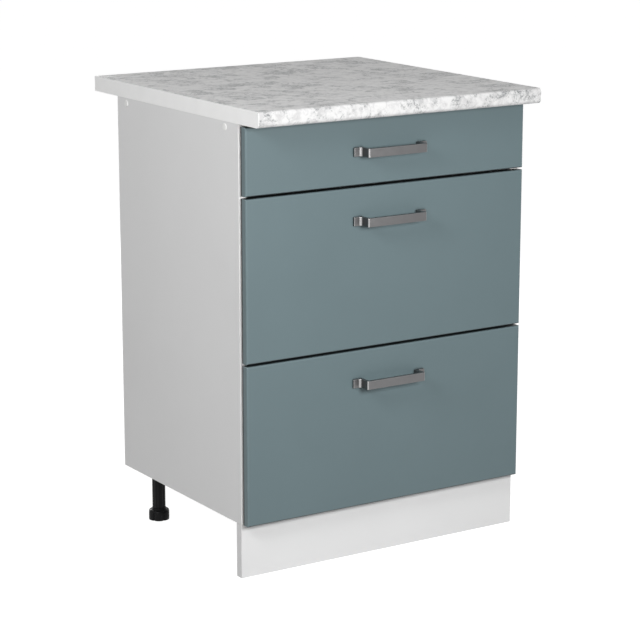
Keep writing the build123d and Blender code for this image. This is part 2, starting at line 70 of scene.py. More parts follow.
camera = {
    "place": (-2.2367, -3.5110, 1.3607),
    "yaw": 32.67,  # degrees to the right of straight ahead
    "pitch": 13.12,  # degrees below the horizon
    "lens": 126.5,
    "sensor": 36,
    "farthest": 200,
}
lights = {
    "key": {"place": (-0.2, -1.9, 1.05), "aim": (0, 0, 0.55), "size": (0.7, 0.5), "power": 26.5},
    "left": {"place": (-1.9, -1.0, 1.75), "aim": (-0.3, 0, 0.6), "size": (0.7, 0.7), "power": 27},
    "above": {"place": (0, 0.2, 2.4), "aim": (0, 0, 0.8), "size": (0.8, 0.8), "power": 1.9},
    "right": {"place": (2.4, 0.9, 0.8), "aim": (0.3, 0, 0.5), "size": (1.2, 0.6), "power": 24},
    "rear": {"place": (0.4, 2.9, 0.8), "aim": (0, 0.3, 0.5), "size": (1.2, 0.6), "power": 28},
}
surround = {"light": 0.23, "seen": 1.0}  # for what is lit, and for what is seen or mirrored


def aimAt(thing, target):
    towards = Vector(target) - thing.location
    thing.rotation_euler = towards.to_track_quat("-Z", "Y").to_euler()


def addCamera():
    data = bpy.data.cameras.new("view")
    data.sensor_width = camera["sensor"]
    data.lens = camera["lens"]
    data.clip_end = camera["farthest"]
    view = bpy.data.objects.new("view", data)
    view.location = camera["place"]
    view.rotation_euler = (math.radians(90 - camera["pitch"]), 0, -math.radians(camera["yaw"]))
    bpy.context.scene.collection.objects.link(view)
    bpy.context.scene.camera = view


def addLight(name, place, aim, size, power):
    data = bpy.data.lights.new(name, "AREA")
    data.shape = "RECTANGLE"
    data.size, data.size_y = size
    data.energy = power
    light = bpy.data.objects.new(name, data)
    light.location = place
    aimAt(light, aim)
    bpy.context.scene.collection.objects.link(light)


def seenRays(nodes, links):
    # 1 for the rays that show something: straight to the camera, mirrored or let through
    path = nodes.new("ShaderNodeLightPath")
    total = path.outputs["Is Camera Ray"]
    for name in ("Is Glossy Ray", "Is Transmission Ray"):
        node = nodes.new("ShaderNodeMath")
        node.operation = "MAXIMUM"
        links.new(total, node.inputs[0])
        links.new(path.outputs[name], node.inputs[1])
        total = node.outputs[0]
    return total


def lightWorld():
    world = bpy.data.worlds.new("studio")
    bpy.context.scene.world = world
    world.use_nodes = True
    nodes, links = world.node_tree.nodes, world.node_tree.links
    nodes.clear()
    output = nodes.new("ShaderNodeOutputWorld")
    mix = nodes.new("ShaderNodeMixShader")
    for socket, strength in ((1, surround["light"]), (2, surround["seen"])):
        back = nodes.new("ShaderNodeBackground")
        back.inputs["Color"].default_value = (1, 1, 1, 1)
        back.inputs["Strength"].default_value = strength
        links.new(back.outputs[0], mix.inputs[socket])
    links.new(seenRays(nodes, links), mix.inputs[0])
    links.new(mix.outputs[0], output.inputs[0])


addCamera()
for name, settings in lights.items():
    addLight(name, **settings)
lightWorld()
bpy.context.scene.view_settings.view_transform = "Standard"
print("camera and lights placed")

# node helpers, for effects and materials alike


class Graph:
    def __init__(self, tree):
        self.nodes, self.links = tree.nodes, tree.links
        self.spots = self.nodes.new("ShaderNodeTexCoord")

    def feed(self, socket, value):
        # links an output, or sets a number, a colour or a vector
        if isinstance(value, bpy.types.NodeSocket):
            self.links.new(value, socket)
        elif isinstance(value, tuple) and len(socket.default_value) == 4:
            socket.default_value = (*value, 1)
        else:
            socket.default_value = value

    def add(self, kind, values, out=0, **settings):
        node = self.nodes.new(f"ShaderNode{kind}")
        for name, value in settings.items():
            setattr(node, name, value)
        for socket, value in values.items():
            self.feed(node.inputs[socket], value)
        return node.outputs[out]

    def place(self, stretch):
        return self.add("Mapping", {"Vector": self.spots.outputs["Object"], "Scale": stretch})

    def noise(self, scale, detail, rough=0.55, warp=0.0, stretch=(1, 1, 1)):
        values = {"Scale": scale, "Detail": detail, "Roughness": rough, "Distortion": warp}
        return self.add("TexNoise", {"Vector": self.place(stretch), **values})

    def flakes(self, scale, out, stretch=(1, 1, 1)):
        return self.add("TexVoronoi", {"Vector": self.place(stretch), "Scale": scale}, out)

    def math(self, how, first, second=0.0):
        return self.add("Math", {0: first, 1: second}, operation=how)

    def weigh(self, first, share, second):
        # this share of the first value, and the rest of the second
        parts = self.math("MULTIPLY", first, share), self.math("MULTIPLY", second, 1 - share)
        return self.math("ADD", *parts)

    def span(self, value, start, end, low=0.0, high=1.0):
        values = {"Value": value, "From Min": start, "From Max": end, "To Min": low, "To Max": high}
        return self.add("MapRange", values)

    def mix(self, amount, first, second):
        return self.add("Mix", {0: amount, 6: first, 7: second}, 2, data_type="RGBA")

    def tint(self, color, strength):
        return self.add("VectorMath", {0: color, "Scale": strength}, operation="SCALE")

    def ramp(self, value, stops):
        # from one tone to another
        node = self.nodes.new("ShaderNodeValToRGB")
        for end, (position, color) in zip(node.color_ramp.elements, stops):
            end.position = position
            end.color = (*color, 1)
        self.links.new(value, node.inputs[0])
        return node.outputs[0]

    def facing(self):
        node = self.nodes.new("ShaderNodeSeparateXYZ")
        self.links.new(self.spots.outputs["Normal"], node.inputs[0])
        return node.outputs

    def effect(self, group, **values):
        # places a shared effect; inputs that aren't given stay at 0
        node = self.nodes.new("ShaderNodeGroup")
        node.node_tree = group
        for name, value in values.items():
            self.feed(node.inputs[name], value)
        return node.outputs


class Effect(Graph):
    # a node group that several materials share
    kinds = {"number": "NodeSocketFloat", "color": "NodeSocketColor", "vector": "NodeSocketVector"}

    def __init__(self, name, inputs, outputs):
        self.group = bpy.data.node_groups.new(name, "ShaderNodeTree")
        for side, sockets in (("INPUT", inputs), ("OUTPUT", outputs)):
            for label, kind in sockets.items():
                self.group.interface.new_socket(
                    label, in_out=side, socket_type=self.kinds[kind]
                )
        super().__init__(self.group)
        self.given = self.nodes.new("NodeGroupInput").outputs
        self.result = self.nodes.new("NodeGroupOutput").inputs


# effects that several materials share


cloudShape = {"detail": 3, "spread": (0.3, 0.7)}  # noise values of the darkest and lightest tone


def cloudEffect():
    # slow drift in tone: Amount 0.03 is 3 percent up and down
    made = Effect(
        "softCloud", {"Color": "color", "Scale": "number", "Amount": "number"}, {"Color": "color"}
    )
    noise = made.noise(made.given["Scale"], cloudShape["detail"])
    drift = made.span(noise, *cloudShape["spread"], -1.0, 1.0)
    strength = made.math("ADD", 1.0, made.math("MULTIPLY", drift, made.given["Amount"]))
    made.feed(made.result["Color"], made.tint(made.given["Color"], strength))
    return made.group


grainShape = {
    "detail": 3,
    "coarseScale": 0.08,  # of the scale of the fine noise
    "fine": 0.6,  # share of the fine noise in the roughness
    "spread": (0.35, 0.65),  # noise values of the lowest and highest roughness
    "samples": 4,
}


def grainEffect():
    # fine relief on slightly rounded edges, and a roughness that changes with the relief
    made = Effect(
        "fineGrain",
        {
            "Scale": "number",
            "Height": "number",
            "Low": "number",
            "High": "number",
            "Round": "number",
            "Stretch": "vector",
        },
        {"Roughness": "number", "Normal": "vector"},
    )
    given, detail = made.given, grainShape["detail"]
    fine = made.noise(given["Scale"], detail, stretch=given["Stretch"])
    coarseScale = made.math("MULTIPLY", given["Scale"], grainShape["coarseScale"])
    both = made.weigh(fine, grainShape["fine"], made.noise(coarseScale, detail))
    rough = made.span(both, *grainShape["spread"], given["Low"], given["High"])
    made.feed(made.result["Roughness"], rough)
    rounded = made.add("Bevel", {"Radius": given["Round"]}, samples=grainShape["samples"])
    values = {"Height": fine, "Distance": given["Height"], "Strength": 1.0, "Normal": rounded}
    made.feed(made.result["Normal"], made.add("Bump", values))
    return made.group


wearAndHighlightShape = {
    "found": (0.99, 0.86),  # likeness of the two normals where the edge colour starts, and where it is full
    "breaks": (90, 4, 0.7),  # scale, detail and roughness of the noise that breaks the line up
    "breakSpread": (0.35, 0.6, 0.35, 1.0),  # noise values, and the edge colour left at each
    "samples": 4,
}


def wearAndHighlightEffect():
    # finds edges by how far a rounded normal leaves the true one, and breaks the line up; the edge
    # colour is real wear on some finishes and a painted highlight on others
    made = Effect(
        "edgeWearAndHighlight",
        {"Color": "color", "Worn": "color", "Width": "number", "Amount": "number"},
        {"Color": "color", "Mask": "number", "Tilt": "number"},
    )
    rounded = made.add("Bevel", {"Radius": made.given["Width"]}, samples=wearAndHighlightShape["samples"])
    true = made.nodes.new("ShaderNodeNewGeometry").outputs["Normal"]
    same = made.add("VectorMath", {0: rounded, 1: true}, "Value", operation="DOT_PRODUCT")
    edge = made.span(same, *wearAndHighlightShape["found"])
    broken = made.span(made.noise(*wearAndHighlightShape["breaks"]), *wearAndHighlightShape["breakSpread"])
    mask = made.math("MULTIPLY", made.math("MULTIPLY", edge, broken), made.given["Amount"])
    made.feed(made.result["Mask"], mask)
    made.feed(made.result["Tilt"], made.add("SeparateXYZ", {"Vector": rounded}, "Z"))
    made.feed(made.result["Color"], made.mix(mask, made.given["Color"], made.given["Worn"]))
    return made.group


chipShape = {
    "squash": (1, 1, 2.2),  # the chips lie flat
    "fibreScale": 2.3,  # of the scale of the chips
    "fibres": (5, 0.7, 0.5, (0.4, 1, 1)),  # detail, roughness, distortion and stretch
    "chips": 0.65,  # share of the chips in the tone; the rest is fibre
    "spread": (0.2, 0.8),  # values of the darkest and lightest tone
    "poreScale": 0.9,
    "poreDetail": 2,
    "poreSpread": (0.60, 0.70),
    "poreTone": 0.35,  # of the dark tone
}


def chipEffect():
    # pressed wood chips of mixed tone, as a raw cut shows them
    made = Effect(
        "woodChips",
        {"Dark": "color", "Light": "color", "Scale": "number"},
        {"Color": "color", "Height": "number"},
    )
    scale, dark = made.given["Scale"], made.given["Dark"]
    shade = made.flakes(scale, "Color", chipShape["squash"])
    fibreScale = made.math("MULTIPLY", scale, chipShape["fibreScale"])
    fibre = made.noise(fibreScale, *chipShape["fibres"])
    tone = made.weigh(shade, chipShape["chips"], fibre)
    color = made.mix(made.span(tone, *chipShape["spread"]), dark, made.given["Light"])
    poreScale = made.math("MULTIPLY", scale, chipShape["poreScale"])
    poreNoise = made.noise(poreScale, chipShape["poreDetail"])
    pores = made.span(poreNoise, *chipShape["poreSpread"])
    poreColor = made.tint(dark, chipShape["poreTone"])
    made.feed(made.result["Color"], made.mix(pores, color, poreColor))
    made.feed(made.result["Height"], made.flakes(scale, "Distance", chipShape["squash"]))
    return made.group


turnedTo = 0.5  # a face points along an axis when its normal has more than this of it


def cutEffect():
    # cut edges of a board: Raw is 1 to the back and underneath, and the other mask is 1 on the
    # edges to the front, where painted light goes
    made = Effect("cutEdge", {"Across": "vector"}, {"Raw": "number", "PaintedLitFrontEdge": "number"})
    values = {0: made.spots.outputs["Normal"], 1: made.given["Across"]}
    along = made.add("VectorMath", values, "Value", operation="DOT_PRODUCT")
    side = made.math("LESS_THAN", made.math("ABSOLUTE", along), turnedTo)
    normal = made.facing()
    hidden = made.math("MAXIMUM", normal["Y"], made.math("MULTIPLY", normal["Z"], -1.0))
    raw = made.math("MULTIPLY", side, made.math("GREATER_THAN", hidden, turnedTo))
    paintedLitFrontEdge = made.math("MULTIPLY", side, made.math("LESS_THAN", normal["Y"], -turnedTo))
    made.feed(made.result["Raw"], raw)
    made.feed(made.result["PaintedLitFrontEdge"], paintedLitFrontEdge)
    return made.group


effects = {
    "cloud": cloudEffect(),
    "grain": grainEffect(),
    "wear": wearAndHighlightEffect(),
    "chips": chipEffect(),
    "cut": cutEffect(),
}
print("effects made")

# materials


class Surface(Graph):
    def __init__(self, name, roughness=0.4, metallic=0.0, gloss=0.5):
        self.material = bpy.data.materials.new(name)
        self.material.use_nodes = True
        super().__init__(self.material.node_tree)
        self.shader = self.nodes["Principled BSDF"].inputs
        self.shader["Roughness"].default_value = roughness
        self.shader["Metallic"].default_value = metallic
        self.shader["Specular IOR Level"].default_value = gloss

    def drift(self, color, **values):
        return self.effect(effects["cloud"], Color=color, **values)["Color"]

    def wear(self, color, **values):
        return self.effect(effects["wear"], Color=color, **values)

    def grain(self, stretch=(1.0, 1.0, 1.0), **values):
        return self.effect(effects["grain"], Stretch=stretch, **values)

    def dress(self, color, grain):
        self.feed(self.shader["Base Color"], color)
        self.feed(self.shader["Roughness"], grain["Roughness"])
        self.feed(self.shader["Normal"], grain["Normal"])
        return self.material


def painted(name, color, cloud, wear, grain, gloss=0.5):
    # one tone that drifts, worn at its edges, with a fine grain
    look = Surface(name, gloss=gloss)
    worn = look.wear(look.drift(color, **cloud), **wear)["Color"]
    return look.dress(worn, look.grain(**grain))


chipTones = {"Dark": (0.33, 0.23, 0.135), "Light": (0.70, 0.56, 0.39), "Scale": 420.0}


def chipboard():
    look = Surface("rawChipboard", 0.85, gloss=0.2)
    wood = look.effect(effects["chips"], **chipTones)
    relief = look.add("Bump", {"Height": wood["Height"], "Distance": 0.0002})
    look.feed(look.shader["Base Color"], look.drift(wood["Color"], Scale=12.0, Amount=0.06))
    look.feed(look.shader["Normal"], relief)
    return look.material


board = {
    "face": (0.745, 0.745, 0.745),
    "paintedLitFrontEdge": (0.90, 0.90, 0.90),  # painted light: the edges that face the front, lighter than the faces
    # painted highlight: a lighter colour along the edges of the boards
    "worn": (0.86, 0.86, 0.86),
    "wornAndHighlitWidth": 0.0006,
    "eased": 0.0005,
}


def melamine(axis):
    # white faces and front edges, the front edges painted lighter as painted light, painted
    # highlights along the edges, and raw chipboard at the back and underneath
    look = Surface(f"whiteMelamine{axis}", 0.42, gloss=0.4)
    across = tuple(float(name == axis) for name in "XYZ")
    cut = look.effect(effects["cut"], Across=across)
    white = look.mix(cut["PaintedLitFrontEdge"], board["face"], board["paintedLitFrontEdge"])
    toned = look.drift(white, Scale=3.0, Amount=0.02)
    # painted highlight along the edges
    worn = look.wear(toned, Worn=board["worn"], Width=board["wornAndHighlitWidth"], Amount=0.5)["Color"]
    wood = look.effect(effects["chips"], **chipTones)["Color"]
    grain = look.grain(Scale=900.0, Height=0.00003, Low=0.36, High=0.5, Round=board["eased"])
    return look.dress(look.mix(cut["Raw"], worn, wood), grain)


front = {
    "foil": (0.113, 0.158, 0.170),
    # painted highlight: a lighter colour along the rounded edges of the fronts
    "worn": (0.27, 0.335, 0.35),
    "wornAndHighlitWidth": 0.003,
    # painted shade: the undersides of the fronts painted near black
    "under": (0.02, 0.025, 0.027),
    "paintedUnderShadeTilt": (-0.25, -0.7),  # the normal's z where the painted shade on an underside starts, and where it is full
    "core": (0.02, 0.022, 0.023),
    "seam": 0.0036,  # painted shade: this far from the back the edges are painted near black, for the shade in the gap behind the front
    "seamBlend": 0.0004,
    "backing": (0.62, 0.62, 0.61),
    "gapReach": 0.009,  # painted shade: surfaces closer than this to another are painted darker
    "gapShade": (0.22, 0.8, 0.04, 1.0),  # openness from and to, and the tone at each
    "gapSamples": 6,
    "eased": 0.0008,
}


def frontFoil():
    look = Surface("blueGreyFoil", 0.5, gloss=0.35)
    depth = look.add("SeparateXYZ", {"Vector": look.spots.outputs["Object"]}, "Y")
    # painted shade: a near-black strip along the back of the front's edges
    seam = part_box("upper_front")[1].y - front["seam"]
    paintedSeamShadeMask = look.span(depth, seam - front["seamBlend"], seam)
    toned = look.drift(front["foil"], Scale=6.0, Amount=0.025)
    # painted highlight along the rounded edges
    worn = look.wear(toned, Worn=front["worn"], Width=front["wornAndHighlitWidth"], Amount=0.85)["Color"]
    normal = look.facing()
    # painted shade on the undersides
    edged = look.mix(look.span(normal["Z"], *front["paintedUnderShadeTilt"]), worn, front["under"])
    # painted shade in the gaps, where other surfaces are near
    near = {"Distance": front["gapReach"]}
    openness = look.add("AmbientOcclusion", near, "AO", samples=front["gapSamples"])
    shaded = look.tint(edged, look.span(openness, *front["gapShade"]))
    sided = look.mix(paintedSeamShadeMask, shaded, front["core"])
    grain = look.grain(Scale=1400.0, Height=0.00003, Low=0.44, High=0.54, Round=front["eased"])
    backward = look.math("GREATER_THAN", normal["Y"], turnedTo)
    return look.dress(look.mix(backward, sided, front["backing"]), grain)


stone = {
    "pale": (0.695, 0.693, 0.69),
    "mid": (0.56, 0.557, 0.558),
    "cool": (0.38, 0.386, 0.392),
    "dark": (0.17, 0.18, 0.185),
    "clouds": (58, 9, 0.74, 0.4),  # scale, detail, roughness and distortion of a noise
    "patches": (23, 8, 0.68, 0.5),
    "ridges": (55, 9, 0.7, 0.5),
    "flecks": (120, 6, 0.65, 0.4),
    "midUpTo": 0.40,  # values of the clouds
    "paleFrom": 0.52,
    "ridgeAt": 0.5,  # value of the ridges that a thread follows
    "coolSpread": (0.50, 0.66, 0.0, 0.62),  # values of the patches, and how cool each is
    "threadWidth": (0.03, 0.006),  # where a thread starts to show, and where it is full
    "threadSpread": (0.48, 0.58, 0.0, 1.0),  # values of the patches, and the threads in each
    "fleckSpread": (0.57, 0.68, 0.0, 0.35),
    "fleckGather": (0.42, 0.56, 0.25, 1.0),
}


def stoneLaminate():
    # pale ground, soft grey patches, and thin dark threads that gather in the patches
    look = Surface("stoneLaminate", 0.4, gloss=0.06)
    stops = ((stone["midUpTo"], stone["mid"]), (stone["paleFrom"], stone["pale"]))
    clouds = look.ramp(look.noise(*stone["clouds"]), stops)
    field = look.noise(*stone["patches"])
    ground = look.mix(look.span(field, *stone["coolSpread"]), clouds, stone["cool"])
    aside = look.math("SUBTRACT", look.noise(*stone["ridges"]), stone["ridgeAt"])
    threads = look.span(look.math("ABSOLUTE", aside), *stone["threadWidth"])
    gathered = look.math("MULTIPLY", threads, look.span(field, *stone["threadSpread"]))
    flecks = look.span(look.noise(*stone["flecks"]), *stone["fleckSpread"])
    sparse = look.math("MULTIPLY", flecks, look.span(field, *stone["fleckGather"]))
    color = look.mix(look.math("MAXIMUM", gathered, sparse), ground, stone["dark"])
    return look.dress(color, look.grain(Scale=700.0, Height=0.00004, Low=0.3, High=0.45))


backSheet = {
    "dark": (0.24, 0.145, 0.078),
    "light": (0.40, 0.26, 0.15),
    "paint": (0.74, 0.74, 0.73),
    "fibres": (300, 6, 0.7, 0.6),  # scale, detail, roughness and distortion of a noise
    "darkUpTo": 0.3,
    "lightFrom": 0.7,
}


def hardboard():
    # bare and brown to the back and underneath, painted on the other face
    look = Surface("hardboard", 0.6, gloss=0.3)
    stops = (
        (backSheet["darkUpTo"], backSheet["dark"]),
        (backSheet["lightFrom"], backSheet["light"]),
    )
    bare = look.ramp(look.noise(*backSheet["fibres"]), stops)
    normal = look.facing()
    outward = look.math("SUBTRACT", normal["Y"], normal["Z"])
    paint = look.drift(backSheet["paint"], Scale=5.0, Amount=0.03)
    color = look.mix(look.math("GREATER_THAN", outward, turnedTo), paint, bare)
    return look.dress(color, look.grain(Scale=500.0, Height=0.00008, Low=0.5, High=0.7))


def endBandPaper():
    return painted(
        "endBand",
        (0.93, 0.93, 0.925),
        {"Scale": 30.0, "Amount": 0.02},
        {"Worn": (0.74, 0.74, 0.735), "Width": 0.0005, "Amount": 0.4},
        {"Scale": 800.0, "Height": 0.00003, "Low": 0.42, "High": 0.55},
    )


satin = {
    "plain": (0.158, 0.157, 0.159),
    # painted highlight: a lighter colour along the top edges
    "worn": (0.42, 0.42, 0.42),
    "wornAndHighlitWidth": 0.0014,
    "dull": (0.10, 0.10, 0.10),  # painted shade on the lower edges
    "paintedShadeTilt": (-0.1, -0.35),  # the normal's z where the painted shade on an edge starts, and where it is full
    # painted highlight: the bends lighter, as if mirroring a lamp
    "bend": (0.38, 0.375, 0.375),
    "paintedBendHighlightSpread": (0.2, 0.55),  # the lesser of the normal's x and y, in and around a bend
    "brushed": (0.04, 1.0, 1.0),
    "eased": 0.0003,
}


def satinMetal():
    # brushed, with painted highlights on the bends and top edges, and painted shade on the lower
    # edges
    look = Surface("satinMetal", 0.38, 1.0)
    toned = look.drift(satin["plain"], Scale=25.0, Amount=0.05)
    # painted highlight along the edges
    worn = look.wear(toned, Worn=satin["worn"], Width=satin["wornAndHighlitWidth"], Amount=0.7)
    # painted shade on the lower edges
    under = look.math("MULTIPLY", worn["Mask"], look.span(worn["Tilt"], *satin["paintedShadeTilt"]))
    edged = look.mix(under, worn["Color"], satin["dull"])
    # painted highlight on the bends
    normal = look.facing()
    sideways, onward = (look.math("ABSOLUTE", normal[axis]) for axis in "XY")
    bend = look.span(look.math("MINIMUM", sideways, onward), *satin["paintedBendHighlightSpread"])
    grain = look.grain(
        satin["brushed"], Scale=900.0, Height=0.00002, Low=0.3, High=0.46, Round=satin["eased"]
    )
    return look.dress(look.mix(bend, edged, satin["bend"]), grain)


def coatedSteel():
    return painted(
        "coatedSteel",
        (0.74, 0.74, 0.72),
        {"Scale": 30.0, "Amount": 0.03},
        {"Worn": (0.46, 0.46, 0.45), "Width": 0.0004, "Amount": 0.6},
        {"Scale": 600.0, "Height": 0.00005, "Low": 0.3, "High": 0.42},
    )


zinc = {
    "dull": (0.44, 0.44, 0.42),
    "bright": (0.62, 0.62, 0.60),
    "worn": (0.74, 0.74, 0.72),
    "wornAndHighlitWidth": 0.0003,
    "spangle": 260.0,
    "dullUpTo": 0.2,
    "brightFrom": 0.8,
}


def zincSteel():
    look = Surface("zincSteel", 0.35, 1.0)
    stops = ((zinc["dullUpTo"], zinc["dull"]), (zinc["brightFrom"], zinc["bright"]))
    plated = look.ramp(look.flakes(zinc["spangle"], "Color"), stops)
    worn = look.wear(plated, Worn=zinc["worn"], Width=zinc["wornAndHighlitWidth"], Amount=0.7)["Color"]
    return look.dress(worn, look.grain(Scale=900.0, Height=0.00001, Low=0.26, High=0.48))


plastic = {"wornAndHighlitWidth": 0.0004, "smoother": 0.06, "rougher": 0.08}  # around the roughness given


def moulded(name, color, worn, roughness, scale, gloss=0.5):
    low, high = roughness - plastic["smoother"], roughness + plastic["rougher"]
    return painted(
        name,
        color,
        {"Scale": 50.0, "Amount": 0.06},
        {"Worn": worn, "Width": plastic["wornAndHighlitWidth"], "Amount": 0.5},
        {"Scale": scale, "Height": 0.00005, "Low": low, "High": high},
        gloss=gloss,
    )


finishes = {
    "blue_grey_front": frontFoil(),
    "stone_laminate": stoneLaminate(),
    "chipboard": chipboard(),
    "hardboard": hardboard(),
    "end_band": endBandPaper(),
    "satin_metal": satinMetal(),
    "runner_steel": coatedSteel(),
    "zinc_steel": zincSteel(),
    "roller_nylon": moulded(
        "rollerNylon", (0.74, 0.74, 0.70), (0.66, 0.66, 0.62), roughness=0.4, scale=500.0
    ),
    "white_plastic": moulded(
        "whitePlastic", (0.84, 0.84, 0.83), (0.86, 0.86, 0.86), roughness=0.35, scale=700.0
    ),
    "black_plastic": moulded(
        "blackPlastic",
        (0.007, 0.007, 0.0075),
        (0.025, 0.025, 0.026),
        roughness=0.45,
        scale=600.0,
        gloss=0.12,
    ),
}
boardFinishes = {axis: melamine(axis) for axis in "XYZ"}  # by the axis across the board


def finishOf(row):
    if row["material_slot"] != "white_melamine":
        return finishes[row["material_slot"]]
    low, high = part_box(row["node"])
    return boardFinishes[min("XYZ", key=lambda axis: getattr(high - low, axis.lower()))]


for row in frame["record"]["subparts"]:
    for place in frame["nodes"][row["node"]].material_slots:
        place.material = finishOf(row)
print("materials made")

# mesh helpers

sharpFrom = 32  # degrees between two faces
easedFrom = 40
weldReach = 0.000001


def addPiece(name, bm, body, slotName, replaced):
    # replaced lists the solids that the piece stands for
    bmesh.ops.recalc_face_normals(bm, faces=bm.faces[:])
    mesh = bpy.data.meshes.new(name)
    bm.to_mesh(mesh)
    bm.free()
    piece = bpy.data.objects.new(name, mesh)
    bpy.context.scene.collection.objects.link(piece)
    mesh.materials.append(finishes[slotName])
    mesh.polygons.foreach_set("use_smooth", [True] * len(mesh.polygons))
    mesh.set_sharp_from_angle(angle=math.radians(sharpFrom))
    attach(piece, body)
    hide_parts(*replaced)
    return piece


def easeEdges(piece, width, steps=3):
    bevel = piece.modifiers.new("easedEdges", "BEVEL")
    bevel.width = width
    bevel.segments = steps
    bevel.limit_method = "ANGLE"
    bevel.angle_limit = math.radians(easedFrom)
    bevel.harden_normals = True


def weld(bm):
    bmesh.ops.remove_doubles(bm, verts=bm.verts[:], dist=weldReach)


def turnOf(step, steps):
    return 2 * math.pi * step / steps


def roundedOutline(corners, steps=8):
    # corners are (u, v, radius); each round is tangent to both of its sides
    points = []
    for index, (u, v, radius) in enumerate(corners):
        corner = Vector((u, v))
        before = Vector(corners[index - 1][:2]) - corner
        after = Vector(corners[(index + 1) % len(corners)][:2]) - corner
        if radius <= 0:
            points.append(corner)
            continue
        halfAngle = before.angle(after) / 2
        middle = before.normalized() + after.normalized()
        centre = corner + middle.normalized() * radius / math.sin(halfAngle)
        start = corner + before.normalized() * radius / math.tan(halfAngle) - centre
        end = corner + after.normalized() * radius / math.tan(halfAngle) - centre
        turn = math.atan2(start.x * end.y - start.y * end.x, start.dot(end))
        for step in range(steps + 1):
            cosine, sine = math.cos(turn * step / steps), math.sin(turn * step / steps)
            along = start.x * cosine - start.y * sine
            up = start.x * sine + start.y * cosine
            points.append(centre + Vector((along, up)))
    return points


def lyingFlat(u, v, distance):
    return (u, v, distance)


def onEnd(u, v, distance):
    # the outline stands across x
    return (distance, u, v)


def addRings(bm, rings, capped=True):
    # rings of points with the same count, joined one to the next
    made = [[bm.verts.new(point) for point in ring] for ring in rings]
    for lower, upper in zip(made, made[1:]):
        for index in range(len(lower)):
            following = (index + 1) % len(lower)
            bm.faces.new((lower[index], lower[following], upper[following], upper[index]))
    if capped:
        bm.faces.new(made[0])
        bm.faces.new(made[-1])


def addPrism(bm, outline, start, end, put):
    # put turns (u, v, distance) into a point
    addRings(bm, [[put(*point, distance) for point in outline] for distance in (start, end)])


def levelRing(centre, reaches, height):
    # a ring of points, each with its own distance from the centre
    ring = []
    for step, reach in enumerate(reaches):
        angle = turnOf(step, len(reaches))
        x, y = centre.x + reach * math.cos(angle), centre.y + reach * math.sin(angle)
        ring.append(Vector((x, y, height)))
    return ring


def addTurned(bm, profile, origin, along, steps=32, capped=True):
    # profile is (radius, height) pairs, turned about the axis that leaves origin
    axis = Vector(along).normalized()
    across = axis.orthogonal().normalized()
    other = axis.cross(across)
    angles = [turnOf(step, steps) for step in range(steps)]
    spokes = [across * math.cos(angle) + other * math.sin(angle) for angle in angles]
    rings = []
    for radius, height in profile:
        centre = Vector(origin) + axis * height
        rings.append([centre + radius * spoke for spoke in spokes])
    addRings(bm, rings, capped)


# worktop

worktop = {
    "box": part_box("worktop_end_bands"),
    "topRadius": 0.006,
    "lowerRadius": 0.008,
    "roundSteps": 14,
    "laminate": 0.0008,
    "returned": 0.03,  # laminate turned in below the front edge
    "band": 0.0008,
    "bandEased": 0.0003,
}


def worktopOutline(inset):
    low, high = worktop["box"]
    edge, back = low.y + inset, high.y
    top, under = high.z - inset, low.z + inset
    corners = (
        (back, top, 0),
        (edge, top, worktop["topRadius"] - inset),
        (edge, under, worktop["lowerRadius"] - inset),
        (edge + worktop["returned"] - inset, under, 0),
    )
    return roundedOutline(corners, worktop["roundSteps"])


def buildWorktop():
    low, high = worktop["box"]
    reach = high.x - worktop["band"]
    outer = worktopOutline(0)
    inner = worktopOutline(worktop["laminate"])
    bm = bmesh.new()
    addPrism(bm, [*outer, *reversed(inner)], -reach, reach, onEnd)
    addPiece("worktopLaminate", bm, "cabinet", "stone_laminate", ["worktop_laminate"])
    bm = bmesh.new()
    section = [*outer, Vector((high.y, low.z))]
    for start, end in ((low.x, -reach), (reach, high.x)):
        addPrism(bm, section, start, end, onEnd)
    bands = addPiece("worktopEndBands", bm, "cabinet", "end_band", ["worktop_end_bands"])
    easeEdges(bands, worktop["bandEased"], steps=2)


buildWorktop()
print("worktop built")

# handles

handle = {
    "corners": (  # from the middle outward: x, distance from the front, radius
        (0.063, 0.028, 0.003),
        (0.063, 0.0045, 0.005),
        (0.0775, 0.0045, 0.0008),
        (0.0775, 0, 0),
        (0.057, 0, 0),
        (0.057, 0.022, 0.004),
    ),
    "eased": 0.0009,
}


def buildHandle(name):
    low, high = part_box(f"{name}_handle")
    right = [(x, high.y - out, radius) for x, out, radius in handle["corners"]]
    left = [(-x, y, radius) for x, y, radius in reversed(right)]
    bm = bmesh.new()
    addPrism(bm, roundedOutline(right + left), low.z, high.z, lyingFlat)
    piece = addPiece(f"{name}Handle", bm, f"{name}_drawer", "satin_metal", [f"{name}_handle"])
    easeEdges(piece, handle["eased"])


for name in drawerNames:
    buildHandle(name)
print("handles built")

# legs and feet

leg = {
    "plate": 0.054,
    "plateThick": 0.004,
    "corner": 0.006,
    "cornerSteps": 5,
    "hub": 0.02,
    "hubHeight": 0.014,
    "flareReach": 0.0015,  # past the tube, where the hub starts to spread
    "flareHeight": 0.004,
    "tube": 0.0118,
    "ribs": 12,
    "ribReach": 0.0008,
    "ribSteepness": 2.2,
    "pointsPerRib": 8,
    "eased": 0.0006,
}
foot = {
    "radius": 0.0205,
    "lobes": 6,
    "notch": 0.15,
    "notchPower": 0.35,  # below 1 the lobes are wide and the notches narrow
    "points": 120,
    "profile": (  # share of the full radius, height, how far the lobes show
        (0.93, 0.0, 1.0),
        (0.985, 0.0006, 1.0),
        (1.0, 0.002, 1.0),
        (1.0, 0.0145, 1.0),
        (0.985, 0.0168, 1.0),
        (0.94, 0.0186, 0.95),
        (0.86, 0.0197, 0.8),
        (0.78, 0.02, 0.4),
        (0.68, 0.0201, 0.0),
        (0.67, 0.0229, 0.0),
        (0.44, 0.023, 0.0),
        (0.44, 0.068, 0.0),
    ),
}
footNames = ("front_left", "front_right", "rear_left", "rear_right")


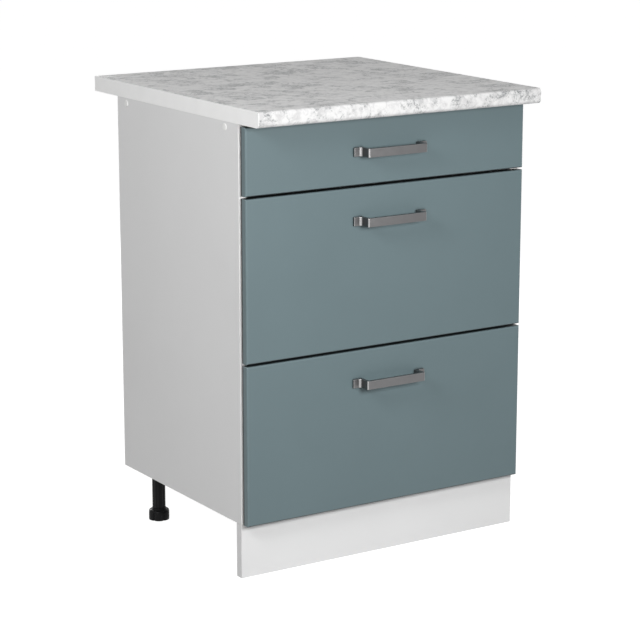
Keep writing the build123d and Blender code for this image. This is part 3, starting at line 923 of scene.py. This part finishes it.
def legCentre(place):
    low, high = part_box(f"foot_{place}")
    return (low + high) / 2


def ridge(step, count):
    # 1 on a rib and 0 between two ribs
    wave = math.cos(turnOf(step, count) * leg["ribs"])
    return 0.5 + 0.5 * max(-1, min(1, leg["ribSteepness"] * wave))


def buildLegs():
    low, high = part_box("leg_housings")
    half, count = leg["plate"] / 2, leg["pointsPerRib"] * leg["ribs"]
    plateUnder = high.z - leg["plateThick"]
    hubUnder = plateUnder - leg["hubHeight"]
    sections = (  # radius, height, whether the ribs show
        (leg["tube"], low.z, 1),
        (leg["tube"], hubUnder, 1),
        (leg["tube"] + leg["flareReach"], hubUnder + leg["flareHeight"], 0),
        (leg["hub"], plateUnder, 0),
    )
    bm = bmesh.new()
    for place in footNames:
        centre = legCentre(place)
        corners = [
            (centre.x + across * half, centre.y + along * half, leg["corner"])
            for across, along in ((-1, -1), (1, -1), (1, 1), (-1, 1))
        ]
        plate = roundedOutline(corners, leg["cornerSteps"])
        addPrism(bm, plate, plateUnder, high.z, lyingFlat)
        rings = []
        for radius, height, ribbed in sections:
            ribs = [ribbed * leg["ribReach"] * ridge(step, count) for step in range(count)]
            rings.append(levelRing(centre, [radius + rib for rib in ribs], height))
        addRings(bm, rings)
    piece = addPiece("legHousings", bm, "cabinet", "black_plastic", ["leg_housings"])
    easeEdges(piece, leg["eased"], steps=2)


def lobe(step):
    # 1 in the middle of a lobe and 0 in a notch
    return abs(math.cos(turnOf(step, foot["points"]) * foot["lobes"] / 2)) ** foot["notchPower"]


def buildFoot(place):
    centre, rings = legCentre(place), []
    for share, height, lobed in foot["profile"]:
        reaches = [
            foot["radius"] * share * (1 - lobed * foot["notch"] * (1 - lobe(step)))
            for step in range(foot["points"])
        ]
        rings.append(levelRing(centre, reaches, height))
    bm = bmesh.new()
    addRings(bm, rings)
    node = f"foot_{place}"
    addPiece(f"foot{place.title().replace('_', '')}", bm, node, "black_plastic", [node])


buildLegs()
for place in footNames:
    buildFoot(place)
print("legs built")

# screw caps

cap = {
    "radius": 0.0065,
    "dome": (  # share of the radius, share of the height
        (1.0, 0.0),
        (1.0, 0.3),
        (0.96, 0.55),
        (0.85, 0.78),
        (0.6, 0.93),
        (0.3, 0.99),
        (0.02, 1.0),
    ),
}


def buildCaps():
    low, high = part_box("screw_caps")
    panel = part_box("side_panel_right")[1].x
    radius, proud = cap["radius"], high.x - panel
    profile = [(radius * share, proud * rise) for share, rise in cap["dome"]]
    bm = bmesh.new()
    for side in (-1, 1):
        for y in (low.y + radius, high.y - radius):
            addTurned(bm, profile, (side * panel, y, (low.z + high.z) / 2), (side, 0, 0))
    addPiece("screwCaps", bm, "cabinet", "white_plastic", ["screw_caps"])


buildCaps()
print("caps built")

# screws and nails, each turned about the axis of the solid that it replaces

screw = {
    "rim": 0.95,  # points past this share of the head's radius are on its rim
    "tipReach": 0.0001,  # points this close to the tip are at the end of the shank
    "nailBelow": 0.002,  # heads with a smaller radius are nails
    "flushAbove": 0.7,  # heads that are higher than this share of their radius are flush ones
    "roundSteps": 24,
    "dome": (  # share of the head's radius, share of its height
        (0.94, 0.0),
        (1.0, 0.1),
        (1.0, 0.5),
        (0.93, 0.78),
        (0.78, 0.94),
        (0.64, 1.0),
    ),
    "flush": ((0.72, 0.0), (1.0, 0.92), (0.97, 1.0), (0.64, 1.02)),
    "arm": 0.15,  # half the width of an arm of the cross, for a head of radius 1
    "armWidest": 0.69,
    "wallGap": 0.01,
    "betweenArms": (0.77, 0.785, 0.80),
    "crossReach": 0.56,
    "crossSunk": (0.5, 0.22),  # where an arm is fully deep, and where the arms meet
    "crossMiddle": 0.2,
    "crossDepth": 0.6,
    "socket": 0.45,
    "socketDepth": 0.6,
    "socketNudge": 0.0001,  # keeps the points off the seam between two sides
    "overlap": 0.0002,  # of head and shank
    "pitch": 0.002,
    "root": 0.72,  # share of the shank's radius between two turns of the thread
    "rootAt": 0.75,  # of the pitch
    "crestAt": 1.25,
    "pointLength": 1.2,  # in shank radii
    "pointRadius": 0.08,
    "shankSteps": 10,
}


def solidsOf(node):
    # the corners of each separate solid
    source = frame["nodes"][node]
    bm = bmesh.new()
    bm.from_mesh(source.data)
    weld(bm)
    seen, solids = set(), []
    for first in bm.verts:
        if first in seen:
            continue
        seen.add(first)
        waiting, solid = [first], []
        while waiting:
            corner = waiting.pop()
            solid.append(source.matrix_world @ corner.co)
            near = [edge.other_vert(corner) for edge in corner.link_edges]
            waiting.extend(other for other in near if other not in seen)
            seen.update(near)
        solids.append(solid)
    bm.free()
    return solids


def measureScrew(points):
    # where the head's outer end is, which way it faces, and the sizes along and across
    low = Vector([min(point[axis] for point in points) for axis in range(3)])
    high = Vector([max(point[axis] for point in points) for axis in range(3)])
    along = max(range(3), key=lambda axis: high[axis] - low[axis])
    middle = (low + high) / 2

    def reach(point):
        offset = point - middle
        offset[along] = 0
        return offset.length

    radius = max(reach(point) for point in points)
    rim = [point[along] for point in points if reach(point) > screw["rim"] * radius]
    upward = high[along] - max(rim) < min(rim) - low[along]
    tip = low[along] if upward else high[along]
    facing, top = Vector((0, 0, 0)), middle.copy()
    facing[along] = 1 if upward else -1
    top[along] = max(rim) if upward else min(rim)
    atTip = [point for point in points if abs(point[along] - tip) < screw["tipReach"]]
    return {
        "top": top,
        "facing": facing,
        "radius": radius,
        "head": max(rim) - min(rim),
        "length": high[along] - low[along],
        "shank": max(reach(point) for point in atTip),
    }


def crossAngles(distance):
    # seven points for each quarter: four at the walls of an arm, three between two arms
    wall, gap = math.asin(min(screw["arm"] / distance, screw["armWidest"])), screw["wallGap"]
    offsets = (-wall - gap, -wall, wall, wall + gap, *screw["betweenArms"])
    return [quarter * math.pi / 2 + offset for quarter in range(4) for offset in offsets]


def crossRings(put):
    # from the head's top into the arms, and along their floor to the middle
    floorLevel = 1 - screw["crossDepth"]
    rings = [[put(screw["crossReach"], angle, 1) for angle in crossAngles(screw["crossReach"])]]
    for distance in screw["crossSunk"]:
        angles = crossAngles(distance)
        quarter = len(angles) // 4
        ring = []
        for index, angle in enumerate(angles):
            inArm = index % quarter in (1, 2)  # the two points inside the walls
            ring.append(put(distance, angle, floorLevel if inArm else 1))
        rings.append(ring)
    rings.append([put(screw["crossMiddle"], angle, floorLevel) for angle in angles])
    return rings


def socketRings(put, angles):
    # the six walls of a socket, from the head's top to the floor
    rings = []
    for level in (screw["flush"][-1][1], 1 - screw["socketDepth"]):
        ring = []
        for angle in angles:
            slant = math.fmod(angle + screw["socketNudge"], math.pi / 3) - math.pi / 6
            reach = screw["socket"] * math.cos(math.pi / 6) / math.cos(slant)
            ring.append(put(reach, angle, level))
        rings.append(ring)
    return rings


def addHead(bm, found):
    # from its underside up, with a cross or a socket for six sides cut into its top
    axis, radius, height = found["facing"], found["radius"], found["head"]
    across = axis.orthogonal().normalized()
    other = axis.cross(across)
    under = found["top"] - axis * height

    def put(share, angle, rise):
        sideways = across * math.cos(angle) + other * math.sin(angle)
        return under + sideways * (radius * share) + axis * (height * rise)

    isFlush = height > screw["flushAbove"] * radius
    isCrossed = not isFlush and radius >= screw["nailBelow"]
    steps = screw["roundSteps"]
    angles = [turnOf(step, steps) for step in range(steps)]
    if isCrossed:
        angles = crossAngles(screw["crossReach"])
    profile = screw["flush" if isFlush else "dome"]
    rings = [[put(share, angle, rise) for angle in angles] for share, rise in profile]
    if isFlush:
        rings += socketRings(put, angles)
    elif isCrossed:
        rings += crossRings(put)
    addRings(bm, rings)


def addShank(bm, found):
    length, shank, pitch = found["length"] - found["head"], found["shank"], screw["pitch"]
    under = found["top"] - found["facing"] * (found["head"] - screw["overlap"])
    turns = 0 if found["radius"] < screw["nailBelow"] else int(length / pitch) - 1
    profile = [(shank, 0)]
    for turn in range(turns):
        profile.append((shank * screw["root"], (turn + screw["rootAt"]) * pitch))
        profile.append((shank, (turn + screw["crestAt"]) * pitch))
    profile.append((shank * screw["root"], length - screw["pointLength"] * shank))
    profile.append((shank * screw["pointRadius"], length))
    addTurned(bm, profile, under, -found["facing"], screw["shankSteps"])


def buildScrews(node, body):
    bm = bmesh.new()
    for points in solidsOf(node):
        found = measureScrew(points)
        addHead(bm, found)
        addShank(bm, found)
    first, *rest = node.split("_")
    name = first + "".join(word.title() for word in rest)
    addPiece(name, bm, body, "zinc_steel", [node])


for node in ("carcass_screws", "back_nails", "chipboard_screws"):
    buildScrews(node, "cabinet")
for name in drawerNames:
    for kind in ("box", "handle"):
        buildScrews(f"{name}_{kind}_screws", f"{name}_drawer")
print("screws built")

# rollers

roller = {
    "radius": 0.0085,
    "width": 0.0048,
    "bore": 0.00212,
    "eased": 0.0005,
    "groove": (0.55, 0.6, 0.8, 0.85),  # shares of the radius, at the top and foot of both walls
    "grooveDepth": 0.0006,
    "steps": 48,
}


def buildRollers(name, kind):
    node = f"{name}_{kind}_rollers"
    low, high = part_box(node)
    eased, width, radius = roller["eased"], roller["width"], roller["radius"]
    levels = (0, roller["grooveDepth"], roller["grooveDepth"], 0)
    profile = (
        (roller["bore"], 0),
        *((radius * share, level) for share, level in zip(roller["groove"], levels)),
        (radius - eased, 0),
        (radius, eased),
        (radius, width - eased),
        (radius - eased, width),
        (roller["bore"], width),
        (roller["bore"], 0),
    )
    bm = bmesh.new()
    for side in (-1, 1):
        origin = (side * high.x, (low.y + high.y) / 2, (low.z + high.z) / 2)
        addTurned(bm, profile, origin, (-side, 0, 0), roller["steps"], capped=False)
    weld(bm)
    addPiece(f"{name}{kind.title()}Rollers", bm, node, "roller_nylon", [node])


for name in drawerNames:
    for kind in ("cabinet", "drawer"):
        buildRollers(name, kind)
print("rollers built")

# floor

floor = {
    "half": 30,
    "tone": 0.4,  # for the light that it throws back on the cabinet
    "soft": 0.25,  # what is seen of it: a paint that takes the shadow, and a glow on top
    "glow": 0.945,
}


def buildFloor():
    bm = bmesh.new()
    corners = ((-1, -1), (1, -1), (1, 1), (-1, 1))
    bm.faces.new([bm.verts.new((x * floor["half"], y * floor["half"], 0)) for x, y in corners])
    mesh = bpy.data.meshes.new("floor")
    bm.to_mesh(mesh)
    bm.free()
    ground = bpy.data.objects.new("floor", mesh)
    bpy.context.scene.collection.objects.link(ground)
    paint = bpy.data.materials.new("floorPaint")
    paint.use_nodes = True
    nodes, links = paint.node_tree.nodes, paint.node_tree.links
    nodes.clear()
    output = nodes.new("ShaderNodeOutputMaterial")
    mix, add = nodes.new("ShaderNodeMixShader"), nodes.new("ShaderNodeAddShader")
    matt, seen = nodes.new("ShaderNodeBsdfDiffuse"), nodes.new("ShaderNodeBsdfDiffuse")
    glow = nodes.new("ShaderNodeEmission")
    matt.inputs["Color"].default_value = (floor["tone"],) * 3 + (1,)
    seen.inputs["Color"].default_value = (floor["soft"],) * 3 + (1,)
    glow.inputs["Strength"].default_value = floor["glow"]
    links.new(seen.outputs[0], add.inputs[0])
    links.new(glow.outputs[0], add.inputs[1])
    links.new(seenRays(nodes, links), mix.inputs[0])
    links.new(matt.outputs[0], mix.inputs[1])
    links.new(add.outputs[0], mix.inputs[2])
    links.new(mix.outputs[0], output.inputs[0])
    mesh.materials.append(paint)
    ground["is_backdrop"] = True


buildFloor()
print("floor laid")

boxes = {name: [list(corner) for corner in box] for name, box in
         (("cad", cadBox), ("visual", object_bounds()))}
